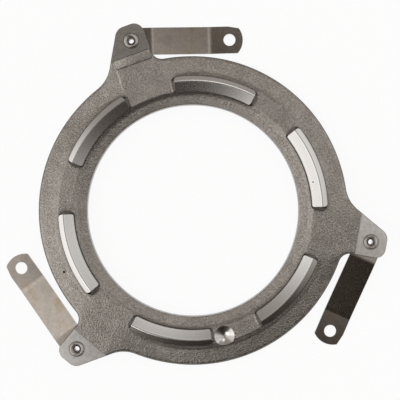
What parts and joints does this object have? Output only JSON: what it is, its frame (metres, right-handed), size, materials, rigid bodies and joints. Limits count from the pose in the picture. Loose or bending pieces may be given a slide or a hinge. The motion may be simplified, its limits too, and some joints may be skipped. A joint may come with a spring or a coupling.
{
  "type": "clutch pressure plate",
  "caption": "Cast iron clutch pressure plate ring with a flat friction face, fulcrum pads for a diaphragm spring, and spring steel straps riveted under its lugs.",
  "frame": {"origin": "bore axis in the plane of the friction face", "axes": "+Z along the bore axis away from the friction face, towards the clutch cover; the first lug points 110 degrees from +X towards +Y"},
  "size_m": [0.2681, 0.2397, 0.0168],
  "materials": {
    "cast_iron": "sand-cast, with turned friction face, pads and lug faces",
    "spring_steel": "tempered brown, semi-gloss",
    "rivet_steel": "plain steel, satin"
  },
  "bodies": {
    "plate": {"pressure_plate_casting": "cast_iron", "strap_1_rivet": "rivet_steel", "strap_2_rivet": "rivet_steel", "strap_3_rivet": "rivet_steel"},
    "strap_1": {"strap_1_leaf_1": "spring_steel", "strap_1_leaf_2": "spring_steel", "strap_1_leaf_3": "spring_steel"},
    "strap_2": {"strap_2_leaf_1": "spring_steel", "strap_2_leaf_2": "spring_steel", "strap_2_leaf_3": "spring_steel"},
    "strap_3": {"strap_3_leaf_1": "spring_steel", "strap_3_leaf_2": "spring_steel", "strap_3_leaf_3": "spring_steel"}
  },
  "joints": [
    {"name": "strap_1_flex", "type": "hinge", "parent": "plate", "child": "strap_1", "pos_m": [-0.02924, 0.11917, 0.00692], "axis": [0.0279, -0.9996, 0], "range_deg": [-0.5, 5.5], "stiffness_Nm_per_rad": 15.6, "deforming": ["strap_1_leaf_1", "strap_1_leaf_2", "strap_1_leaf_3"]},
    {"name": "strap_2_flex", "type": "hinge", "parent": "plate", "child": "strap_2", "pos_m": [0.1189, -0.03479, 0.00692], "axis": [-0.9171, 0.3987, 0], "range_deg": [-0.5, 5.5], "stiffness_Nm_per_rad": 15.6, "deforming": ["strap_2_leaf_1", "strap_2_leaf_2", "strap_2_leaf_3"]},
    {"name": "strap_3_flex", "type": "hinge", "parent": "plate", "child": "strap_3", "pos_m": [-0.08942, -0.08546, 0.00692], "axis": [0.8121, 0.5835, 0], "range_deg": [-0.5, 5.5], "stiffness_Nm_per_rad": 15.6, "deforming": ["strap_3_leaf_1", "strap_3_leaf_2", "strap_3_leaf_3"]}
  ]
}
